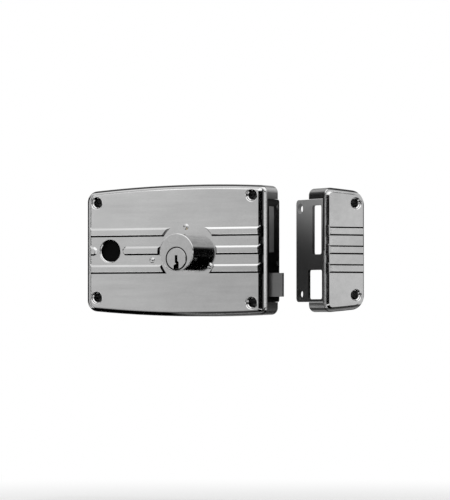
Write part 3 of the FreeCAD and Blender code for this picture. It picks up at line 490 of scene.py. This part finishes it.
def turned_nickel(name, centre_z, ring_pitch):
    """Satin nickel with lathe rings about a centre on the face."""
    paint = Paint(name, metallic=1.0)
    x, y, z = paint.axes()
    rings = (paint.length(x, z - centre_z) * (2 * math.pi / ring_pitch)).sine()
    streaks = paint.noise(*AXIS_STREAKS)
    spots = paint.noise(*SPOTS)
    side = y.step(*FACE_EDGE)
    # Painted shade in the gap round the plug
    clean_and_unshaded = (paint.length(x, z + PLUG_DROP) - PLUG_EDGE).absolute().step(*PLUG_GAP_SHADE)
    clean_and_unshaded = clean_and_unshaded * (1 - side * (SIDE_DIRT + streaks * SIDE_STREAK_DIRT))
    # Painted shade under the side
    clean_and_unshaded = clean_and_unshaded * (1 - side * (1 - z.step(*UNDERSIDE)) * UNDERSIDE_SHADE)
    tone = (SATIN_TONE + streaks * SATIN_STREAK_TONE + spots * SATIN_SPOT_TONE) * clean_and_unshaded
    height = rings * RING_HEIGHT + streaks * AXIS_STREAK_HEIGHT + spots * SPOT_HEIGHT
    return paint.feed(base_color=paint.mix(tone, grey(0.0), grey(BRIGHTEST)),
                      roughness=SATIN_ROUGHNESS + spots * SPOT_ROUGHNESS,
                      normal=paint.bump(height, SATIN_STRENGTH, FINE))


barrel_nickel = turned_nickel("barrel_nickel", 0.0, BARREL_RINGS)
plug_nickel = turned_nickel("plug_nickel", -PLUG_DROP, PLUG_RINGS)
print("turned nickel for", barrel_nickel.name, "and", plug_nickel.name)

# %% [markdown]
# Steels, zinc and brass
#
# The forend is nearly black, and the bolts are paler and duller. All have grinding marks along their length.
# The parts inside are zinc plated, and the pins and the cam are brass. One function makes them all, because
# they differ only in tone, gloss and the way that the marks run.

# %% Plain metals
ALONG_X = (0.05, 1, 1)
ALONG_Z = (1, 1, 0.05)
NO_GRAIN = (1, 1, 1)
MARK_SCALE = 500
ZINC_SCALE = 300
MARK_DETAIL = 3
MARK_ROUGHNESS = 0.08
MARK_STRENGTH = 0.12
PATCHES = (45, 2)
PATCH_ROUGHNESS = 0.12


def ground_metal(name, low, high, gloss, stretch, scale=MARK_SCALE):
    """Metal between two colours, with marks that run along the axis whose factor in stretch is small."""
    paint = Paint(name, metallic=1.0)
    marks = paint.noise(scale, MARK_DETAIL, stretch)
    patches = paint.noise(*PATCHES)
    rough = gloss + (patches - MIDDLE) * PATCH_ROUGHNESS + (marks - MIDDLE) * MARK_ROUGHNESS
    return paint.feed(base_color=paint.mix(marks * 0.5 + patches * 0.5, low, high), roughness=rough,
                      normal=paint.bump(marks, MARK_STRENGTH, FINE))


forend_steel = ground_metal("forend_steel", grey(0.003), grey(0.012), 0.30, ALONG_Z)
bolt_steel = ground_metal("bolt_steel", grey(0.42), grey(0.58), 0.40, ALONG_Z)
latch_steel = ground_metal("latch_steel", grey(0.21), grey(0.28), 0.40, ALONG_X)
bright_steel = ground_metal("bright_steel", grey(0.5), grey(0.7), 0.25, NO_GRAIN)
dark_steel = ground_metal("dark_steel", grey(0.004), grey(0.012), 0.40, NO_GRAIN)
zinc_plate = ground_metal("zinc_plate", (0.42, 0.43, 0.44, 1), (0.62, 0.63, 0.64, 1), 0.38, NO_GRAIN,
                          ZINC_SCALE)
spring_steel = ground_metal("spring_steel", (0.30, 0.30, 0.32, 1), (0.45, 0.45, 0.47, 1), 0.30, NO_GRAIN)
pin_brass = ground_metal("pin_brass", (0.50, 0.36, 0.14, 1), (0.70, 0.54, 0.26, 1), 0.30, NO_GRAIN)
print("metals from", forend_steel.name, "to", pin_brass.name)

# %% [markdown]
# Blackened steel, painted light and shade in the holes, and black plastic
#
# The strike's plate is blackened, and paler towards its top. The insides of the screw holes carry a painted
# highlight near their mouths and painted shade further in. The button is moulded black plastic with faint
# wear. Each has a short function of its own, because these finishes change over the piece in their own ways.

# %% Dark finishes
PALER_UPWARDS = (-20.0 * MM, 45.0 * MM)
BLACKENED = 0.01
PALER_TOP_TONE = 0.22
PLATE_MARK_TONE = 0.008
PLATE_PATCH_TONE = 0.006
PLATE_ROUGHNESS = 0.30
PLATE_PATCH_ROUGHNESS = 0.1
# Painted highlight near a hole's mouth and painted shade further in
MOUTH = (-20.6 * MM, -19.8 * MM)
LINING_SHADE = 0.004
LINING_HIGHLIGHT = 0.95
LINING_ROUGHNESS = 0.35
LINING_DIRT = (350, 2)
LINING_DIRT_ROUGHNESS = 0.2
BUTTON_WEAR = (240, 3)
BUTTON_TONES = (0.002, 0.005)
BUTTON_ROUGHNESS = 0.30
BUTTON_WEAR_ROUGHNESS = 0.16


def blackened_steel(name):
    """Blackened steel of the strike's plate, paler towards its top."""
    paint = Paint(name, specular_ior_level=0.3)
    height = paint.axes()[2]
    marks = paint.noise(MARK_SCALE, MARK_DETAIL, ALONG_Z)
    patches = paint.noise(*PATCHES)
    # The plate is paler towards its top
    paler_top = height.step(*PALER_UPWARDS) * height.step(*PALER_UPWARDS)
    tone = paler_top * PALER_TOP_TONE + marks * PLATE_MARK_TONE + patches * PLATE_PATCH_TONE
    return paint.feed(base_color=paint.mix(tone, grey(BLACKENED), grey(1.0)),
                      roughness=PLATE_ROUGHNESS + patches * PLATE_PATCH_ROUGHNESS,
                      normal=paint.bump(marks, MARK_STRENGTH, FINE))


def lit_and_shaded_lining(name, cover):
    """The inside of a screw hole, with a painted highlight near its mouth and painted shade further in."""
    paint = Paint(name)
    # Painted highlight near the mouth and painted shade further in
    mouth = 1 - own_axes(paint, cover)[1].step(*MOUTH)
    return paint.feed(base_color=paint.mix(mouth, grey(LINING_SHADE), grey(LINING_HIGHLIGHT)),
                      roughness=LINING_ROUGHNESS + paint.noise(*LINING_DIRT) * LINING_DIRT_ROUGHNESS)


def worn_plastic(name):
    """Black moulded plastic with faint wear."""
    paint = Paint(name, specular_ior_level=0.02)
    wear = paint.noise(*BUTTON_WEAR)
    return paint.feed(base_color=paint.mix(wear, *[grey(tone) for tone in BUTTON_TONES]),
                      roughness=BUTTON_ROUGHNESS + wear * BUTTON_WEAR_ROUGHNESS)


strike_steel = blackened_steel("strike_steel")
lock_lit_shaded_lining = lit_and_shaded_lining("lock_lit_shaded_lining", LOCK)
strike_lit_shaded_lining = lit_and_shaded_lining("strike_lit_shaded_lining", STRIKE)
button_plastic = worn_plastic("button_plastic")
print("dark finishes from", strike_steel.name, "to", button_plastic.name)

# %% [markdown]
# Giving the pieces their finish
#
# The frame's solids keep their shape, so each only needs the right material in its slots. What the list
# leaves out is zinc plated.

# %% Finish of every solid
finishes = {
    cover_nickel: ["front_cover"],
    strike_nickel: ["strike_cover"],
    barrel_nickel: ["cylinder_barrel"],
    plug_nickel: ["cylinder_plug"],
    forend_steel: ["forend"],
    strike_steel: ["strike_plate"],
    bolt_steel: ["dead_bolt_head"],
    latch_steel: ["latch_head"],
    lock_lit_shaded_lining: ["corner_sleeves"],
    strike_lit_shaded_lining: ["strike_sleeves"],
    dark_steel: ["button_tube"],
    button_plastic: ["push_button"],
    bright_steel: ["carrier_rivets", "forend_screws", "barrel_screws", "bolt_rivets", "latch_rivets",
                   "lever_pin", "detent_screw"],
    pin_brass: ["key_pins", "driver_pins", "chamber_plugs", "plug_cam"],
    spring_steel: ["pin_springs", "latch_spring", "detent_spring", "plug_circlip", "post_clips"],
}
material_of = {name: material for material, names in finishes.items() for name in names}
for name, node in nodes.items():
    node.data.materials.clear()
    node.data.materials.append(material_of.get(name, zinc_plate))
print("finished", len(nodes), "solids,", len(nodes) - len(material_of), "of them zinc plated")

# %% [markdown]
# Lips in the holes
#
# The photograph shows a bright crescent in every hole: its edge is folded over and sunk. The solids have the
# fold. A narrow cone behind it carries the bright metal on inwards, and a thin ring closes the hairline
# between the cylinder and the cover. Both are only for the eye.

# %% Cones inside the holes
RING_STEPS = 48

# Across and spacing of each pair of screw holes
LOCK_HOLES = ((-72.4 * MM, 67.2 * MM), (49.5 * MM, 75.0 * MM))
STRIKE_HOLES = ((87.7 * MM, 64.2 * MM),)
HOLE_MIDDLE = 2.2 * MM

# Radius and depth of each ring's two edges
HOLE_RING = ((3.79 * MM, -22.6 * MM), (3.1 * MM, -22.0 * MM))
BUTTON_RING = ((8.09 * MM, -23.1 * MM), (7.5 * MM, -22.6 * MM))
CLOSING_RING = ((13.6 * MM, -23.71 * MM), (13.2 * MM, -23.71 * MM))


def add_mesh(name, points, faces, material):
    """A new object with one material."""
    mesh = bpy.data.meshes.new(name)
    mesh.from_pydata(points, [], faces)
    made = bpy.data.objects.new(name, mesh)
    made.data.materials.append(material)
    bpy.context.scene.collection.objects.link(made)
    return made


def placed(cover, across, depth, height):
    """Point in the lock's frame of a place measured along a cover's own directions."""
    cos, sin = math.cos(cover["turn"]), math.sin(cover["turn"])
    x = POLE.x + (across - POLE.x) * cos - (depth - POLE.y) * sin
    y = POLE.y + (across - POLE.x) * sin + (depth - POLE.y) * cos
    return x, y, height


def hole_rings(pairs):
    """A ring in each screw hole of pairs that stand one above the other."""
    return [(across, HOLE_MIDDLE + side * spacing / 2, HOLE_RING)
            for across, spacing in pairs for side in (-1, 1)]


def cone_rings(name, cover, rings, material, body):
    """Rings, each from one radius and depth to a second radius and depth about a place on the cover."""
    points = []
    faces = []
    for across, height, edges in rings:
        first = len(points)
        for i in range(RING_STEPS):
            turn = 2 * math.pi * i / RING_STEPS
            for radius, depth in edges:
                points.append(placed(cover, across + radius * math.cos(turn), depth,
                                     height + radius * math.sin(turn)))
            here, there = first + 2 * i, first + 2 * ((i + 1) % RING_STEPS)
            faces.append((here, there, there + 1, here + 1))
    made = add_mesh(name, points, faces, material)
    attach(made, body)
    print(name, len(faces), "faces")


button_low, button_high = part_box("push_button")
button_lip = ((button_low[0] + button_high[0]) / 2, (button_low[2] + button_high[2]) / 2, BUTTON_RING)
closing_ring = (0.0, 0.0, CLOSING_RING)
lock_rings = hole_rings(LOCK_HOLES) + [button_lip, closing_ring]
cone_rings("lock_hole_lips", LOCK, lock_rings, cover_nickel, "case")
cone_rings("strike_hole_lips", STRIKE, hole_rings(STRIKE_HOLES), strike_nickel, "strike")

# %% [markdown]
# The latch's spring
#
# A spring gets shorter when the latch goes in, and a solid can't. A copy of the coil stands in for it, and
# the solid spring is hidden.

# %% A copy of the spring
solid_spring = nodes["latch_spring"]
coil = bpy.data.objects.new("latch_spring_coil", solid_spring.data.copy())
coil.matrix_world = solid_spring.matrix_world
bpy.context.scene.collection.objects.link(coil)
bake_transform(coil)
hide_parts("latch_spring")

# %% [markdown]
# The studio
#
# Polished metal shows what stands around it, so the studio is made for reflections. The world is white to
# the camera and in reflections, and dimmer as a light on matt surfaces. The floor is pale under the lock and
# turns white away from it. The other light is soft and plain, from one large lamp overhead.

# %% Floor
FLOOR_LEVEL = -0.2
FLOOR_RADIUS = 1.4
FLOOR_TONE = 0.82
FLOOR_ROUGHNESS = 0.9
FLOOR_TURNS_WHITE = (0.3, 0.9)
DISC_STEPS = 96


def disc(name, radius, level, material):
    """A round sheet that isn't part of the lock."""
    turns = [2 * math.pi * i / DISC_STEPS for i in range(DISC_STEPS)]
    points = [(radius * math.cos(turn), radius * math.sin(turn), level) for turn in turns]
    made = add_mesh(name, points, [tuple(range(DISC_STEPS))], material)


def floor_material(name):
    """Pale floor that turns to the white of the background away from the lock."""
    paint = Paint(name, base_color=grey(FLOOR_TONE), roughness=FLOOR_ROUGHNESS)
    x, y = paint.axes()[:2]
    seen = paint.node("ShaderNodeLightPath", out="Is Camera Ray")
    white = paint.length(x, y).step(*FLOOR_TURNS_WHITE) * seen
    own = Value(paint, paint.shader.outputs[0])
    return paint.show(paint.node("ShaderNodeMixShader", None, {0: white, 1: own, 2: paint.glow(grey(1.0))}))


disc("floor", FLOOR_RADIUS, FLOOR_LEVEL, floor_material("floor_white"))
print("floor at", FLOOR_LEVEL, "m")

# %% White background
WORLD_FILL = 0.55


def white_world(name):
    """White to the camera and in reflections, and dimmer to matt surfaces."""
    world = bpy.data.worlds.new(name)
    world.use_nodes = True
    graph = Graph(world.node_tree)
    camera_ray, glossy_ray, through_ray = [
        graph.node("ShaderNodeLightPath", out=ray)
        for ray in ("Is Camera Ray", "Is Glossy Ray", "Is Transmission Ray")]
    seen = graph.node("ShaderNodeMath", {"operation": "ADD", "use_clamp": True},
                      {0: camera_ray + glossy_ray, 1: through_ray})
    sky = graph.tree.nodes["Background"]
    sky.inputs["Color"].default_value = grey(1.0)
    graph.join(graph.node("ShaderNodeMapRange", None, {"Value": seen, "To Min": WORLD_FILL}),
               sky.inputs["Strength"])
    return world


bpy.context.scene.world = white_world("studio")
print("world", bpy.context.scene.world.name)

# %% [markdown]
# Cards for the reflections
#
# A graded grey card at the left of the camera gives the flat faces their mid grey. Black flags all round
# darken the bevels and the rib ends, and narrow bright strips in front of them light the rounded edges. A
# plain grey card stands at the strike's right, for what looks that way. A bright card overhead makes the
# white lines on the edges that look up, with a small black flag under it. Black cards on the floor make the
# dark lines on the edges that look down, and a faint glow on them lightens what looks down at the left. Only
# reflections see the cards, so they change no other light.

# %% Making cards
WALL_STEPS = 24


def card(name, points, faces, material):
    made = add_mesh(name, points, faces, material)
    for ray in ("camera", "diffuse", "transmission", "shadow", "volume_scatter"):
        setattr(made, "visible_" + ray, False)


def wall_card(name, azimuths, elevations, distance, material):
    """Part of a round wall about the lock, between two directions and two heights given as angles."""
    points = []
    for i in range(WALL_STEPS + 1):
        azimuth = math.radians(azimuths[0] + (azimuths[1] - azimuths[0]) * i / WALL_STEPS)
        for elevation in elevations:
            height = distance * math.tan(math.radians(elevation))
            points.append((distance * math.sin(azimuth), -distance * math.cos(azimuth), height))
    faces = [(2 * i, 2 * i + 2, 2 * i + 3, 2 * i + 1) for i in range(WALL_STEPS)]
    card(name, points, faces, material)


def flat_card(name, corners, material):
    card(name, corners, [tuple(range(len(corners)))], material)


def level_card(name, level, places, material):
    """A card that lies level at a height, with its corners given by X and Y."""
    flat_card(name, [(x, y, level) for x, y in places], material)


print("cards can stand round the lock or lie level")

# %% Glow of the cards
STRONG_GLOW = 1.5
STRIKE_GLOW = 0.70
UNDER_GLOW = 0.45
FACE_GLOW = 0.63
FACE_SLOPES = (-0.7, 1.0)
FACE_MIDDLE = (-0.70, 0.03)


def plain_glow(name, level):
    """The same glow all over the card."""
    paint = Paint(name)
    return paint.show(paint.glow(grey(level)))


def graded_glow(name, level, slopes, middle):
    """Glow that changes along X and Z of the card, with its level given at a middle."""
    paint = Paint(name)
    x, _, z = paint.axes()
    graded = (x - middle[0]) * slopes[0] + (z - middle[1]) * slopes[1] + level
    return paint.show(paint.glow(paint.tone(graded)))


black = plain_glow("black_card", 0.0)
strong = plain_glow("strong_card", STRONG_GLOW)
strike_grey = plain_glow("strike_card", STRIKE_GLOW)
under_grey = plain_glow("under_glow", UNDER_GLOW)
face_grey = graded_glow("face_card", FACE_GLOW, FACE_SLOPES, FACE_MIDDLE)
print("glows from", black.name, "to", face_grey.name)

# %% Cards that stand round the lock
WALL = 1.6
NEAR_WALL = 0.8
BEFORE_WALL = WALL - 0.05
BEFORE_NEAR_WALL = NEAR_WALL - 0.02

# Directions and heights in degrees, distance and glow of each card
wall_cards = {
    "left_flag": ((-112, -38), (-6, 20), WALL, black),
    "face_card": ((-38, -19), (-6, 33), WALL, face_grey),
    "front_flag": ((-19, 45), (-7, 12), WALL, black),
    "right_flag": ((45, 100), (-16, 14), NEAR_WALL, black),
    "edge_strip_0": ((0, 20), (-3, 6), BEFORE_WALL, strong),
    "edge_strip_1": ((30, 47), (-3, 6), BEFORE_WALL, strong),
    "edge_strip_2": ((45, 54), (-3, 6), BEFORE_NEAR_WALL, strong),
    "edge_strip_3": ((82, 100), (-3, 6), BEFORE_NEAR_WALL, strong),
    "edge_strip_4": ((-76, -57), (-6, 6), BEFORE_WALL, strong),
    "back_flag": ((120, 228), (-7, 8), WALL, black),
}
for name, description in wall_cards.items():
    wall_card(name, *description)
strike_corners = [(0.25, -0.02, -0.15), (0.25, 0.30, -0.15), (0.25, 0.30, 0.15), (0.25, -0.02, 0.15)]
flat_card("strike_card", strike_corners, strike_grey)
print(len(wall_cards), "cards on round walls and one beside the strike")

# %% Cards above and below
TOP_LEVEL = 0.35
FLANK_LEVEL = 0.34
CARD_LEVEL = FLOOR_LEVEL + 0.01
GLOW_LEVEL = CARD_LEVEL + 0.002

# Level, corners and glow of each card
level_cards = {
    "top_card": (TOP_LEVEL, [(-0.175, -0.6), (0.6, -0.6), (0.6, 0.6), (-0.355, 0.6), (-0.175, 0.0)], strong),
    "flank_flag": (FLANK_LEVEL, [(0.14, 0.06), (0.36, 0.06), (0.36, 0.28), (0.14, 0.28)], black),
    "floor_black": (CARD_LEVEL, [(-0.35, -0.16), (0.25, -0.16), (0.25, 0.45), (-0.35, 0.45)], black),
    "front_black": (CARD_LEVEL, [(-0.11, -0.30), (0.20, -0.30), (0.95, -1.16), (0.0, -1.5), (-0.49, -1.42)],
                    black),
    "back_black": (CARD_LEVEL, [(0.18, 0.45), (0.42, 0.45), (1.20, 0.90), (0.80, 1.27), (0.28, 1.47)],
                   black),
    "left_black": (CARD_LEVEL, [(-0.49, -0.63), (-0.92, -1.18), (-1.32, -0.70), (-0.71, -0.38)], black),
    "under_glow": (GLOW_LEVEL, [(-0.35, -0.03), (0.0, -0.03), (0.0, 0.45), (-0.35, 0.45)], under_grey),
}
for name, description in level_cards.items():
    level_card(name, *description)
print(len(level_cards), "cards above and below")

# %% Lamp
LAMP_SIZE = 1.2
LAMP_POWER = 26.0
LAMP_PLACE = Vector((-0.5, -1.0, 1.5))
lamp = bpy.data.objects.new("overhead_lamp", bpy.data.lights.new("overhead_lamp", "AREA"))
lamp.data.size = LAMP_SIZE
lamp.data.energy = LAMP_POWER
lamp.location = LAMP_PLACE
lamp.rotation_mode = "QUATERNION"
lamp.rotation_quaternion = (-LAMP_PLACE).to_track_quat("-Z", "Y")
lamp.visible_glossy = False
bpy.context.scene.collection.objects.link(lamp)
print("lamp of", LAMP_POWER, "W")

# %% [markdown]
# Finishing
#
# The view settings stay plain.

# %% View settings
bpy.context.scene.view_settings.view_transform = "Standard"
